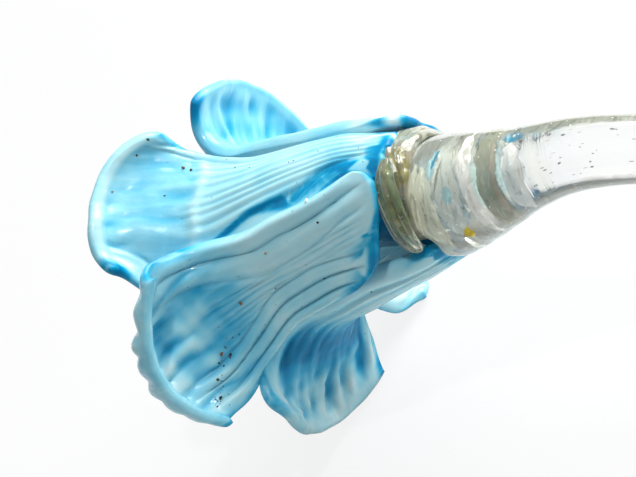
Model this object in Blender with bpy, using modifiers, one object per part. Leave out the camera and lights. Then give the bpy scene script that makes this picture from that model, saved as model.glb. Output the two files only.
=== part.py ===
"""Glass dip pen with an art-glass flower head, lying on a table.

The pen is laid out in its own frame first: the straight handle runs along +X to the
writing tip, and the flower head hangs from the handle's bent end. The head has its own
frame, with its origin where the petals start and +Z pointing out of the flower. At the
end the whole pen is set down so that two petals and the writing tip touch the floor.
"""

import math

import bmesh
import bpy
import numpy as np
from mathutils import Matrix, Vector

MM = 0.001
GAP = 0.3 * MM
SHARP_ANGLE = math.radians(50.0)
MERGE_DISTANCE = 0.05 * MM

# Attitude of the pen as it lies, and where the head's origin then is: the world origin is
# on the floor under the middle of the pen's bounding box.
REST_PITCH = math.radians(12.602)
REST_ROLL = math.radians(-0.237)
REST_PLACE = Vector((-61.105, 1.268, 26.531)) * MM

# Head and handle layout, measured from the start of the petals.
HEAD_BEND = math.radians(21.8)
BEND_START = 19.1 * MM
BEND_LENGTH = 13.0 * MM
HANDLE_OFFSET = 1.6 * MM
HANDLE_OFFSET_AZIMUTH = math.radians(221.0)
NIB_START = 130.0 * MM
NIB_LENGTH = 28.0 * MM

# Flower.
PETAL_START = -3.4 * MM
BASE_SHEET = 1.3 * MM
NECK_SHEET = 2.0 * MM
NECK_EDGE = 2.4 * MM
RIM_SHEET = 1.3 * MM
FLARE_BEFORE = 6.0 * MM       # the neck starts to open this far before the blade
FLARE_AFTER = 4.0 * MM        # and has the blade's slope this far into it
LIP_LENGTH = 6.0 * MM         # curled strip along the rim
DISH = 1.2 * MM               # rise of the opened blade's long edges
EDGE_THINNING = 0.55          # share of thickness lost at the long edges
PETAL_ROWS = 18
PETAL_COLUMNS = 9

# Receptacle: radii and heights of its dome, its flange, and the stub behind that.
CORE_DOME = ((2.6 * MM, 8.2 * MM), (4.4 * MM, 6.0 * MM), (5.2 * MM, 2.5 * MM))
CORE_TOP = 9.0 * MM
CORE_RADIUS = 5.4 * MM
FLANGE_RADIUS = 6.7 * MM
FLANGE_DEPTH = 0.5 * MM
STUB_SHOULDER = 2.2 * MM
STUB_RADII = (5.0 * MM, 4.7 * MM, 4.6 * MM)
TURNED_SEGMENTS = 40

# Glass behind the petals: heights along the head's axis.
COLLAR_START = -8.4 * MM
COLLAR_END = -18.8 * MM
COLLAR_RINGS = ((5.6 * MM, COLLAR_START), (6.6 * MM, COLLAR_START - 0.6 * MM), (6.9 * MM, -10.2 * MM),
                (6.55 * MM, -11.8 * MM), (6.45 * MM, -13.0 * MM), (6.0 * MM, -14.4 * MM),
                (5.95 * MM, -15.6 * MM), (5.5 * MM, -16.8 * MM), (5.1 * MM, COLLAR_END))
WRAP_HEIGHT = -5.9 * MM
WRAP_RADIUS = 6.9 * MM
WRAP_AZIMUTH = math.radians(30.0)
WRAP_REACH = math.radians(132.0)
WRAP_THICK = 1.1 * MM
WRAP_WIDE = 1.95 * MM
WRAP_TILT = 0.25              # how much the trail leans out toward the petals
WRAP_END = 0.15               # share of its section left at its two ends

# Handle.
STEM_RADIUS = 3.9 * MM
GRIP_RADIUS = 3.4 * MM
TAPER_START = 50.0 * MM
FLARE_FROM = 16.5 * MM
FLARE_SIZE = 1.7 * MM
FLARE_FADE = 6.0 * MM
BEND_STATIONS = 10
STRAIGHT_STATIONS = 14

# Nib, with lengths as shares of the whole nib.
NIB_FLUTES = 10
NIB_RADIUS = 3.1 * MM
NIB_FLAT_RADIUS = 0.5 * MM
NIB_TWIST = math.radians(300.0)
NIB_WAIST_RADIUS = 0.74 * NIB_RADIUS
NIB_WAIST = 0.12
NIB_SWELL_END = 0.36
NIB_TAPER_START = 0.32
NIB_TAPER_POWER = 0.85
FLUTE_DEPTH = 0.16
FLUTES_BEGIN = (0.10, 0.30)
NIB_ROWS = 22
POINTS_PER_FLUTE = 4

# Chip lying on the collar: direction, height, the collar's reach there and half sizes.
CHIP_AZIMUTH = math.radians(-93.0)
CHIP_HEIGHT = -11.8 * MM
CHIP_SEAT = 6.62 * MM
CHIP_SIZES = (0.35 * MM, 0.7 * MM, 0.6 * MM)
CHIP_UNEVEN = 0.18

# Each petal: direction around the head at its start and at its tip (degrees), mean radius
# at the start, slopes of neck, opened blade and curled lip away from the head's axis,
# lengths of neck and blade, half widths at start, neck and blade, how far each long edge
# is lifted over (+) or tucked under (-) its neighbour, how far the start reaches back
# over the receptacle (foot), how far its low edge is cut back (slant), and how far the
# rim leans to one side (skew) and rounds off at its corners (bow).
PETALS = {
    "petal_1": dict(azimuth=(9, -13), start=7.8, lean=13, flare=34, lip=120, neck=24, blade=15.0,
                    widths=(4.4, 5.5, 9.6), tuck=(-1.0, -1.0), foot=0, slant=0, skew=-1.0, bow=3.0),
    "petal_2": dict(azimuth=(69, 69), start=8.5, lean=7, flare=88, lip=110, neck=30.5, blade=10.5,
                    widths=(5.8, 6.2, 10.2), tuck=(1.4, 1.2), foot=0, slant=0, skew=0, bow=4.0),
    "petal_3": dict(azimuth=(141, 141), start=8.2, lean=8, flare=80, lip=120, neck=22, blade=14.5,
                    widths=(6.3, 6.4, 9.8), tuck=(-1.1, 1.5), foot=0, slant=0, skew=0, bow=4.0),
    "petal_4": dict(azimuth=(216, 219), start=8.2, lean=8, flare=55, lip=95, neck=22, blade=13.8,
                    widths=(5.6, 6.2, 10.6), tuck=(-1.1, -0.8), foot=4, slant=0, skew=0, bow=4.0),
    "petal_5": dict(azimuth=(298, 287), start=8.8, lean=10, flare=50, lip=165, neck=24, blade=16.0,
                    widths=(7.9, 6.1, 10.4), tuck=(1.2, 1.2), foot=0, slant=8, skew=-1.5, bow=4.0),
}

MATERIALS = {
    "milky_blue": dict(color=(0.36, 0.74, 0.90, 1.0), roughness=0.12, transmission=0.0),
    "deep_blue": dict(color=(0.02, 0.35, 0.60, 1.0), roughness=0.08, transmission=0.6),
    "clear_glass": dict(color=(0.90, 0.93, 0.92, 1.0), roughness=0.05, transmission=0.9),
    "olive_clear": dict(color=(0.78, 0.80, 0.66, 1.0), roughness=0.06, transmission=0.8),
    "yellow_frit": dict(color=(0.90, 0.74, 0.10, 1.0), roughness=0.25, transmission=0.0),
}


def ease(x, low, high):
    """Smooth step from 0 at low to 1 at high."""
    t = np.clip((np.asarray(x, dtype=float) - low) / (high - low), 0.0, 1.0)
    return t * t * (3.0 - 2.0 * t)


def clear_scene():
    for obj in list(bpy.data.objects):
        bpy.data.objects.remove(obj)


def make_material(name):
    spec = MATERIALS[name]
    material = bpy.data.materials.new(name)
    material.use_nodes = True
    shader = material.node_tree.nodes["Principled BSDF"]
    shader.inputs["Base Color"].default_value = spec["color"]
    shader.inputs["Roughness"].default_value = spec["roughness"]
    shader.inputs["Transmission Weight"].default_value = spec["transmission"]
    return material


def add_mesh(name, verts, faces, collection, material, matrix):
    """Add a closed mesh, facing outward, at the given place in the world."""
    mesh = bpy.data.meshes.new(name)
    mesh.from_pydata([tuple(v) for v in verts], [], faces)
    work = bmesh.new()
    work.from_mesh(mesh)
    bmesh.ops.recalc_face_normals(work, faces=work.faces)
    work.to_mesh(mesh)
    work.free()
    mesh.shade_smooth()
    mesh.set_sharp_from_angle(angle=SHARP_ANGLE)
    mesh.materials.append(material)
    obj = bpy.data.objects.new(name, mesh)
    obj.matrix_world = matrix
    collection.objects.link(obj)
    return obj


def loft_faces(rows, around):
    """Faces of a closed skin over rings of points, with a flat cap at each end."""
    faces = [list(range(around)), [(rows - 1) * around + index for index in range(around)]]
    for row in range(rows - 1):
        for index in range(around):
            after = (index + 1) % around
            faces.append([row * around + index, row * around + after,
                          (row + 1) * around + after, (row + 1) * around + index])
    return faces


def add_turned(name, profile, collection, material, matrix):
    """Turn a profile of (radius, height) points, top to bottom, about the local Z axis."""
    verts = [(radius, 0.0, height) for radius, height in profile]
    edges = [(i, i + 1) for i in range(len(verts) - 1)]
    mesh = bpy.data.meshes.new(name)
    mesh.from_pydata(verts, edges, [])
    mesh.materials.append(material)
    obj = bpy.data.objects.new(name, mesh)
    obj.matrix_world = matrix
    collection.objects.link(obj)
    screw = obj.modifiers.new("turn", "SCREW")
    screw.axis = "Z"
    screw.angle = 2.0 * math.pi
    screw.steps = TURNED_SEGMENTS
    screw.render_steps = TURNED_SEGMENTS
    screw.use_merge_vertices = True
    screw.merge_threshold = MERGE_DISTANCE
    screw.use_normal_calculate = True
    return obj


def petal_spine(petal, stations, end):
    """Radius, height and slope at distances along a strip of petal that ends at `end`."""
    neck = (petal["neck"] + petal["foot"]) * MM
    fine = np.linspace(0.0, neck + petal["blade"] * MM, 300)
    lean, flare, lip = (math.radians(petal[key]) for key in ("lean", "flare", "lip"))
    slope = lean + (flare - lean) * ease(fine, neck - FLARE_BEFORE, neck + FLARE_AFTER)
    slope += (lip - flare) * ease(fine, end - LIP_LENGTH, end)
    step = fine[1] - fine[0]
    radius = petal["start"] * MM + np.cumsum(np.sin(slope)) * step
    height = PETAL_START - petal["foot"] * MM + np.cumsum(np.cos(slope)) * step
    return (np.interp(stations, fine, values) for values in (radius, height, slope))


def petal_section(petal, stations):
    """Half width, middle thickness and edge thickness of a petal at its stations."""
    start, neck, blade = (value * MM for value in petal["widths"])
    open_from = (petal["neck"] + petal["foot"]) * MM
    half = start + (neck - start) * ease(stations, 0.0, 12.0 * MM)
    half += (blade - neck) * ease(stations, open_from - 8.0 * MM, open_from + 7.0 * MM)
    grow = ease(stations, 0.0, 9.0 * MM)
    thin = ease(stations, open_from - 3.0 * MM, open_from + 4.0 * MM)
    sheet = BASE_SHEET + (NECK_SHEET - BASE_SHEET) * grow + (RIM_SHEET - NECK_SHEET) * thin
    edge = BASE_SHEET + (NECK_EDGE - BASE_SHEET) * grow + (RIM_SHEET - NECK_EDGE) * thin
    return half, sheet, edge


def petal_strip(petal, v):
    """Outer and inner points of a petal along one strip, v = -1 to 1 across its width."""
    length = (petal["foot"] + petal["neck"] + petal["blade"]) * MM
    begin = petal["slant"] * MM * (0.5 - 0.5 * v) ** 2
    end = length + (petal["skew"] * v - petal["bow"] * v * v) * MM
    stations = np.linspace(begin, end, PETAL_ROWS)
    radius, height, slope = petal_spine(petal, stations, end)
    half, sheet, edge = petal_section(petal, stations)
    opened = ease(stations, length - (petal["blade"] + 6.0) * MM, length)
    overlapped = 1.0 - ease(stations, length - (petal["blade"] + 4.0) * MM, length)

    arc = half * v
    curvature = (1.0 - 0.98 * opened) / radius
    offset = np.sin(arc * curvature) / curvature
    lift = (np.cos(arc * curvature) - 1.0) / curvature + DISH * v * v * opened
    lift += petal["tuck"][0 if v < 0.0 else 1] * MM * v * v * overlapped
    thick = sheet + (edge - sheet) * ease(abs(v), 0.6, 0.9)
    thick *= 1.0 - EDGE_THINNING * ease(abs(v), 0.85, 1.0)

    first, last = (math.radians(value) for value in petal["azimuth"])
    azimuth = first + (last - first) * ease(stations, 0.0, 0.7 * length)
    flat = np.zeros(PETAL_ROWS)
    out = np.stack([np.cos(azimuth), np.sin(azimuth), flat], axis=1)
    side = np.stack([-np.sin(azimuth), np.cos(azimuth), flat], axis=1)
    axis = np.stack([flat, flat, flat + 1.0], axis=1)
    normal = np.cos(slope)[:, None] * out - np.sin(slope)[:, None] * axis
    middle = radius[:, None] * out + height[:, None] * axis + offset[:, None] * side
    middle += lift[:, None] * normal
    half_sheet = 0.5 * thick[:, None] * normal
    return middle + half_sheet, middle - half_sheet


def petal_verts(petal):
    """Outer and inner faces of a petal as two grids of points in the head's frame."""
    outer = np.zeros((PETAL_ROWS, PETAL_COLUMNS, 3))
    inner = np.zeros((PETAL_ROWS, PETAL_COLUMNS, 3))
    for column, v in enumerate(np.linspace(-1.0, 1.0, PETAL_COLUMNS)):
        outer[:, column], inner[:, column] = petal_strip(petal, v)
    return outer, inner


def sheet_faces(rows, columns):
    """Faces of a closed sheet: outer grid, inner grid below it, and the edges between them."""
    under = rows * columns

    def grid(row, column):
        return row * columns + column

    faces = []
    for row in range(rows - 1):
        for column in range(columns - 1):
            quad = [grid(row, column), grid(row + 1, column),
                    grid(row + 1, column + 1), grid(row, column + 1)]
            faces.append(quad)
            faces.append([under + index for index in reversed(quad)])
        for column in (0, columns - 1):
            near, far = grid(row, column), grid(row + 1, column)
            faces.append([near, far, under + far, under + near])
    for row in (0, rows - 1):
        for column in range(columns - 1):
            near, far = grid(row, column), grid(row, column + 1)
            faces.append([near, far, under + far, under + near])
    return faces


def add_petal(name, petal, collection, material, matrix):
    """One petal as a closed sheet of varying thickness."""
    outer, inner = petal_verts(petal)
    verts = np.concatenate([outer.reshape(-1, 3), inner.reshape(-1, 3)])
    return add_mesh(name, verts, sheet_faces(PETAL_ROWS, PETAL_COLUMNS), collection, material, matrix)


def add_core(collection, material, matrix):
    """Receptacle: a domed plug inside the petals with a flange behind their ends."""
    flange = PETAL_START - GAP
    back = COLLAR_START + GAP
    profile = [(0.0, CORE_TOP), *CORE_DOME, (CORE_RADIUS, flange), (FLANGE_RADIUS, flange),
               (FLANGE_RADIUS, flange - 0.4 * FLANGE_DEPTH), (STUB_RADII[0], flange - FLANGE_DEPTH),
               (STUB_RADII[1], flange - STUB_SHOULDER), (STUB_RADII[2], back), (0.0, back)]
    return add_turned("flower_core", profile, collection, material, matrix)


def add_neck_wrap(collection, material, matrix):
    """Clear trail laid three quarters of the way round the neck, thinning at its ends."""
    rows, around = 28, 12
    verts = []
    for row in range(rows):
        t = 2.0 * row / (rows - 1) - 1.0
        azimuth = WRAP_AZIMUTH + t * WRAP_REACH
        swell = WRAP_END + (1.0 - WRAP_END) * math.sqrt(max(0.0, 1.0 - abs(t) ** 4))
        for index in range(around):
            angle = 2.0 * math.pi * index / around
            radius = WRAP_RADIUS + WRAP_THICK * swell * math.cos(angle)
            height = WRAP_HEIGHT + WRAP_WIDE * swell * math.sin(angle)
            radius += WRAP_TILT * (height - WRAP_HEIGHT)
            verts.append((radius * math.cos(azimuth), radius * math.sin(azimuth), height))
    return add_mesh("neck_wrap", verts, loft_faces(rows, around), collection, material, matrix)


def add_collar(collection, material, matrix):
    """Thick clear gather behind the wrap, with soft rings where it was built up."""
    profile = [(0.0, COLLAR_START), *COLLAR_RINGS, (0.0, COLLAR_END)]
    return add_turned("collar", profile, collection, material, matrix)


def stem_line():
    """Handle's middle line from the collar to the nib, in the pen's frame."""
    start = -COLLAR_END + GAP
    distances = np.concatenate([
        np.linspace(start, BEND_START + BEND_LENGTH, BEND_STATIONS, endpoint=False),
        np.linspace(BEND_START + BEND_LENGTH, NIB_START, STRAIGHT_STATIONS),
    ])
    fine = np.linspace(0.0, NIB_START, 4000)
    angle = HEAD_BEND * (1.0 - ease(fine, BEND_START, BEND_START + BEND_LENGTH))
    step = fine[1] - fine[0]
    along = np.cumsum(np.cos(angle)) * step
    lift = np.cumsum(np.sin(angle)) * step
    return distances, np.interp(distances, fine, along), np.interp(distances, fine, lift)


def stem_radius(distance):
    """Handle radius: flared into the collar, then a slow taper to the grip."""
    flare = FLARE_SIZE * math.exp(-(distance - FLARE_FROM) / FLARE_FADE)
    return STEM_RADIUS + flare + (GRIP_RADIUS - STEM_RADIUS) * ease(distance, TAPER_START, NIB_START)


def add_stem(collection, material, matrix):
    """Clear handle with one soft bend behind the collar."""
    distances, along, lift = stem_line()
    curve = bpy.data.curves.new("stem", "CURVE")
    curve.dimensions = "3D"
    curve.bevel_depth = 1.0
    curve.bevel_resolution = 6
    curve.use_fill_caps = True
    spline = curve.splines.new("POLY")
    spline.points.add(len(distances) - 1)
    for point, distance, x, z in zip(spline.points, distances, along, lift):
        point.co = (x, 0.0, z, 1.0)
        point.radius = float(stem_radius(distance))
    curve.materials.append(material)
    obj = bpy.data.objects.new("stem", curve)
    obj.matrix_world = matrix
    collection.objects.link(obj)
    return obj


def nib_radius(t):
    """Radius over the ridges from the nib's root (t = 0) to its ground end (t = 1)."""
    root = GRIP_RADIUS + (NIB_WAIST_RADIUS - GRIP_RADIUS) * ease(t, 0.0, NIB_WAIST)
    swollen = root + (NIB_RADIUS - NIB_WAIST_RADIUS) * ease(t, NIB_WAIST, NIB_SWELL_END)
    taper = ease(t, NIB_TAPER_START, 1.0) ** NIB_TAPER_POWER
    return swollen + (NIB_FLAT_RADIUS - swollen) * taper


def add_nib(collection, material, matrix):
    """Fluted, twisted writing point, lofted along +X and ground flat at its end."""
    rows, around = NIB_ROWS, NIB_FLUTES * POINTS_PER_FLUTE
    _, along, lift = stem_line()
    start = along[-1] + GAP
    verts = []
    for row in range(rows):
        t = row / (rows - 1)
        radius = float(nib_radius(t))
        depth = FLUTE_DEPTH * float(ease(t, *FLUTES_BEGIN))
        for index in range(around):
            angle = 2.0 * math.pi * index / around
            flute = 1.0 - depth * (0.5 + 0.5 * math.cos(NIB_FLUTES * angle))
            turn = angle + NIB_TWIST * t
            verts.append((start + NIB_LENGTH * t, radius * flute * math.cos(turn),
                          lift[-1] + radius * flute * math.sin(turn)))
    return add_mesh("nib", verts, loft_faces(rows, around), collection, material, matrix)


def add_frit_chip(collection, material, matrix):
    """Small angular chip of yellow glass lying on the collar."""
    reach = CHIP_SEAT + GAP + CHIP_SIZES[0]
    mesh = bpy.data.meshes.new("frit_chip")
    work = bmesh.new()
    bmesh.ops.create_icosphere(work, subdivisions=1, radius=1.0)
    for vert in work.verts:
        uneven = 1.0 + CHIP_UNEVEN * math.sin(9.0 * vert.co.x + 5.0 * vert.co.y + 3.0 * vert.co.z)
        vert.co = vert.co * Vector(CHIP_SIZES) * uneven
    work.to_mesh(mesh)
    work.free()
    mesh.materials.append(material)
    obj = bpy.data.objects.new("frit_chip", mesh)
    spot = Matrix.Rotation(CHIP_AZIMUTH, 4, "Z") @ Matrix.Translation((reach, 0.0, CHIP_HEIGHT))
    obj.matrix_world = matrix @ spot
    collection.objects.link(obj)
    return obj


def build():
    clear_scene()
    collection = bpy.data.collections.new("glass_dip_pen")
    bpy.context.scene.collection.children.link(collection)
    materials = {name: make_material(name) for name in MATERIALS}

    rest = Matrix.Rotation(REST_ROLL, 4, "X") @ Matrix.Rotation(REST_PITCH, 4, "Y")
    pen = Matrix.Translation(REST_PLACE) @ rest
    head = pen @ Matrix.Rotation(-(math.pi / 2.0 + HEAD_BEND), 4, "Y")
    off_centre = Matrix.Translation((HANDLE_OFFSET * math.cos(HANDLE_OFFSET_AZIMUTH),
                                     HANDLE_OFFSET * math.sin(HANDLE_OFFSET_AZIMUTH), 0.0))
    behind = head @ off_centre
    handle = behind @ head.inverted() @ pen

    for name, petal in PETALS.items():
        add_petal(name, petal, collection, materials["milky_blue"], head)
    add_core(collection, materials["deep_blue"], head)
    add_neck_wrap(collection, materials["olive_clear"], head)
    add_collar(collection, materials["clear_glass"], behind)
    add_stem(collection, materials["clear_glass"], handle)
    add_nib(collection, materials["clear_glass"], handle)
    add_frit_chip(collection, materials["yellow_frit"], behind)


build()
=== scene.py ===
"""Looks of the glass dip pen: hot-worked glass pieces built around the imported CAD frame.

Every piece is made in one of the pen's own frames and then placed as the CAD is. Distances
along petals and the handle are in millimetres until a mesh is made.
"""

import math
from types import SimpleNamespace

import bmesh
import bpy
import numpy as np
from mathutils import Matrix, Vector


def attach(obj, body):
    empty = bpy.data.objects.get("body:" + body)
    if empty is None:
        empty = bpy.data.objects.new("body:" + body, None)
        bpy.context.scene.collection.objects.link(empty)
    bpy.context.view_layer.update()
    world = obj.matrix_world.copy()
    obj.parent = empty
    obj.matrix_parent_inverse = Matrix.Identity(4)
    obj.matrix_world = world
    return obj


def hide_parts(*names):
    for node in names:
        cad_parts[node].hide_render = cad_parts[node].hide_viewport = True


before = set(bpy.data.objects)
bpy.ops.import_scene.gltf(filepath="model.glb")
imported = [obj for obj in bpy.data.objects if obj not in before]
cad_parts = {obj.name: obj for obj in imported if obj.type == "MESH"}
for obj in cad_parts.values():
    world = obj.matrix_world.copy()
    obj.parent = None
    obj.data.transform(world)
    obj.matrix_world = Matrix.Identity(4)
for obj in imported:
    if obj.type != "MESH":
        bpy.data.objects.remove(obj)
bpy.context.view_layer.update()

MM = 0.001

# How the pen lies, and how the handle meets the flower, as in the CAD.
REST_PITCH = math.radians(12.602)
REST_ROLL = math.radians(-0.237)
REST_PLACE = Vector((-61.105, 1.268, 26.531)) * MM
HEAD_BEND = math.radians(21.8)
HANDLE_OFFSET = 1.6 * MM
HANDLE_OFFSET_AZIMUTH = math.radians(221.0)

# Flower, in millimetres along each petal.
PETAL_START = -3.4
BASE_SHEET = 1.3
NECK_SHEET = 2.0
NECK_EDGE = 2.4
RIM_SHEET = 1.3
BASE_TRIM = 2.6
EARLY_START = 1.6
START_WANDER = 0.35
END_ROUND = 0.6
PETAL_ROWS = 190
PETAL_COLUMNS = 121
LINE_POINTS = 700

# Height in mm that each kind of petal relief adds, and its paleness: partly the opal's own white, partly
# painted light where the relief rises and painted shade where it sinks.
RIB = (0.27, 0.20)
ROLL = (0.80, 0.12)
RIDGE = (0.18, 0.08)
BEAD = (0.22, 0.18)
PRESSED = (-0.20, -0.12)
PUCKER = (0.45, 0.35)
UNEVEN_HEIGHT = 0.12

# How each petal is shaped. Lengths are in mm, angles in degrees, and a pair gives the low
# side (v below 0) and the high side. azimuth: at its start and in its blade; start: radius
# there; lean, flare, lip: slope of neck, blade and rim; foot, neck, blade: lengths; widths:
# half width of start, neck and blade; tuck: how far the edges bend out before the blade
# opens; slant, skew, bow: how the start and the rim run across. widen, spread: extra half
# width at the waist and in the blade; sink: how far the blade's long edges drop; dish, curl:
# recess of the opened blade and rise of its long edges; trim: how far the corners are
# rounded off; rolls: number and width of the rolls along each neck edge; puff: their height;
# ribs, ripples, depth: neck ribs, blade ripples and how deep those are; wavy: scallops of the
# rim; bead: thickening along it; corner: deep blue in the corners; seam: strength, distance
# in from the low edge and width of a deep blue line; blue_start: length of the deep blue
# start; swirl: place across and strength of a white streak in it; tone: paleness of neck and
# blade from 0 (deep blue) to 1 (white), and how much painted shade darkens the hollow at the
# foot of the blade.
PLAIN = dict(foot=0, slant=0, skew=0, spread=(0.0, 0.0), sink=(0.0, 0.0), seam=(0.0, 1.0, 1.0),
             swirl=(0.0, 0.0))
PETALS = {
    "petal_1": dict(azimuth=(9, -13), start=7.8, lean=13, flare=34, lip=70, neck=24, blade=15.0,
                    widths=(4.4, 5.5, 9.6), tuck=(-1.0, -1.0), skew=-1.0, bow=3.0, widen=(3.0, -1.0),
                    spread=(0.3, 0.0), sink=(1.8, 0.0), dish=0.2, curl=0.2, trim=(2.4, 4.2),
                    rolls=((1, 3.2), (1, 1.8)), puff=0.9, ribs=12, ripples=5, depth=0.16, wavy=0.04,
                    bead=1.0, corner=(1.0, 0.2), seam=(1.3, 3.4, 0.24), blue_start=(4.5, 4.5),
                    swirl=(0.40, 1.0), tone=(0.74, 0.72, 0.0)),
    "petal_2": dict(azimuth=(69, 69), start=8.5, lean=7, flare=88, lip=110, neck=30.5, blade=10.5,
                    widths=(5.8, 6.2, 10.2), tuck=(1.4, 1.2), bow=4.0, widen=(1.2, 1.2), dish=0.4,
                    curl=1.0, trim=(2.6, 0.5), rolls=((1, 4.2), (1, 2.6)), puff=1.7, ribs=11,
                    ripples=6, depth=0.60, wavy=0.06, bead=0.25, corner=(1.0, 0.4),
                    blue_start=(3.0, 3.0), swirl=(-0.86, 1.0), tone=(0.74, 0.62, 0.14)),
    "petal_3": dict(azimuth=(141, 141), start=8.2, lean=8, flare=80, lip=120, neck=22, blade=14.5,
                    widths=(6.3, 6.4, 9.8), tuck=(-1.1, 1.5), bow=4.0, widen=(1.8, 1.8), dish=0.4,
                    curl=0.4, trim=(0.5, 0.5), rolls=((1, 2.4), (1, 2.4)), puff=1.0, ribs=11,
                    ripples=10, depth=0.70, wavy=0.50, bead=0.4, corner=(0.3, 0.3),
                    blue_start=(2.0, 2.0), tone=(0.90, 0.80, 0.10)),
    "petal_4": dict(azimuth=(216, 219), start=8.2, lean=8, flare=55, lip=95, foot=4, neck=22,
                    blade=13.8, widths=(5.6, 6.2, 10.6), tuck=(-1.1, -0.8), bow=4.0,
                    widen=(1.8, 1.8), dish=0.2, curl=0.4, trim=(0.5, 4.2),
                    rolls=((1, 2.6), (1, 2.6)), puff=1.0, ribs=11, ripples=7, depth=0.75, wavy=0.06,
                    bead=0.5, corner=(1.0, 0.6), blue_start=(7.0, 7.0), tone=(0.80, 0.80, 0.75)),
    "petal_5": dict(azimuth=(298, 287), start=8.8, lean=10, flare=50, lip=165, neck=24, blade=16.0,
                    widths=(7.9, 6.1, 10.4), tuck=(1.2, 1.2), slant=8, skew=-1.5, bow=4.0,
                    widen=(0.4, 1.4), dish=1.7, curl=0.8, trim=(0.0, 0.5),
                    rolls=((3, 1.8), (2, 2.5)), puff=1.2, ribs=20, ripples=7, depth=0.70, wavy=0.05,
                    bead=0.30, corner=(1.0, 0.1), blue_start=(4.5, 1.2), tone=(0.82, 0.67, 0.20)),
}

# Collar, handle and nib, in millimetres along the middle line behind the flower's origin.
COLLAR_START = 5.6
BEND_START = 19.1
BEND_LENGTH = 13.0
COLLAR_DONE = 26.0
NIB_START = 130.0
NIB_LENGTH = 28.0
STEM_RADIUS = 3.9
GRIP_RADIUS = 3.4
HANDLE_COLUMNS = 240
COLLAR_ROWS = 230
STEM_ROWS = 130
NIB_FLUTES = 10
NIB_RADIUS = 3.1
NIB_FLAT_RADIUS = 0.5
NIB_TWIST = math.radians(300.0)
NIB_ROWS = 150

# Collar: distance along the middle line and radius.
COLLAR_RADII = ((5.6, 6.9), (6.2, 7.35), (7.2, 7.35), (9.0, 7.10), (11.0, 6.78), (13.0, 6.45),
                (15.0, 6.00), (17.0, 5.52), (18.8, 5.05))

# Core: radius and height, from the top of its dome to its foot.
CORE_PROFILE = ((0.3, 9.0), (2.6, 8.2), (4.4, 6.0), (5.2, 2.5), (5.4, -3.4), (6.3, -3.5), (6.9, -3.8),
                (6.4, -4.2), (5.2, -4.6), (4.7, -5.9), (4.7, -8.0), (0.3, -8.2))

WRAP_HEIGHT = -5.2
WRAP_RADIUS = 6.7
WRAP_AZIMUTH = math.radians(30.0)
WRAP_REACH = math.radians(132.0)
FLAP_RADIUS = 8.05

# Clouds painted on the clear collar for the light, shade and colours seen through it: white and
# pale ones are painted light, grey-olive ones painted shade, blue ones the blue core as if seen
# through the glass. Columns: distance behind the flower, azimuth, their half lengths along and
# around (mm, degrees), how far they slant (mm per radian), strength and colour.
# On the collar these colours paint light and shade, the dark grey-olive one painted shade; the beige, blue
# and olive ones also colour the wrap, and the green one the flap.
PEARL = (0.84, 0.88, 0.74)
LOBE = (0.96, 0.97, 0.72)
WHITE = (0.98, 1.00, 0.93)
PAINTED_SHADE = (0.36, 0.38, 0.27)
BEIGE = (0.50, 0.44, 0.33)
BLUE = (0.03, 0.30, 0.46)
PALE_BLUE = (0.48, 0.76, 0.74)
OLIVE = (0.34, 0.30, 0.10)
FLAP_GREEN = (0.26, 0.34, 0.16)
COLLAR_PAINTED_LIGHT = (
    (7.8, 290.0, 3.0, 66.0, 0.8, 0.85, LOBE),
    (8.0, 130.0, 2.4, 80.0, 0.0, 0.75, LOBE),
    (8.2, 22.0, 2.2, 34.0, 0.0, 0.80, BEIGE),
    (11.6, 318.0, 2.3, 74.0, 0.6, 0.84, PEARL),
    (10.6, 348.0, 0.8, 20.0, 1.2, 0.88, PALE_BLUE),
    (11.9, 312.0, 0.6, 10.0, 0.6, 0.88, PALE_BLUE),
    (12.6, 296.0, 0.5, 12.0, -1.0, 0.90, WHITE),
    (11.2, 335.0, 0.2, 20.0, 2.4, 0.92, PAINTED_SHADE),
    (10.9, 352.0, 0.35, 14.0, 2.0, 0.95, BLUE),
    (12.7, 336.0, 0.6, 12.0, 1.0, 0.75, LOBE),
    (12.6, 4.0, 0.7, 16.0, 0.5, 0.55, PALE_BLUE),
    (12.0, 190.0, 1.1, 40.0, 0.8, 0.60, PALE_BLUE),
    (12.0, 80.0, 1.0, 30.0, 0.8, 0.60, PALE_BLUE),
    (14.7, 325.0, 0.95, 110.0, 0.3, 0.92, WHITE),
    (17.3, 310.0, 1.5, 140.0, 0.4, 0.92, PAINTED_SHADE),
    (17.9, 300.0, 0.35, 75.0, 0.6, 0.95, BEIGE),
    (18.7, 350.0, 0.35, 24.0, 0.8, 0.55, PALE_BLUE),
    (20.0, 300.0, 1.6, 70.0, 0.4, 0.90, WHITE),
    (20.2, 5.0, 1.8, 12.0, 0.0, 0.87, BLUE),
    (27.0, 32.0, 12.0, 24.0, 0.0, 0.84, PAINTED_SHADE),
    (24.0, 238.0, 9.0, 26.0, 0.0, 0.84, PAINTED_SHADE),
    (20.6, 252.0, 0.9, 9.0, 0.0, 0.70, PALE_BLUE),
)
# Strength of the pale painted light spread over the collar under the clouds.
BASE_PAINTED_VEIL = 0.50

# Air bubbles in the collar: distance behind the flower, azimuth and radius (mm, degrees).
BUBBLES = ((12.9, 288.0, 0.55), (11.4, 300.0, 0.30), (13.6, 276.0, 0.28), (14.6, 320.0, 0.22),
           (10.2, 330.0, 0.25), (15.4, 340.0, 0.20), (12.2, 20.0, 0.35), (11.0, 120.0, 0.45),
           (13.8, 160.0, 0.30), (12.6, 210.0, 0.40), (16.5, 60.0, 0.30), (17.2, 300.0, 0.18))
SEEDS = 260

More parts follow.
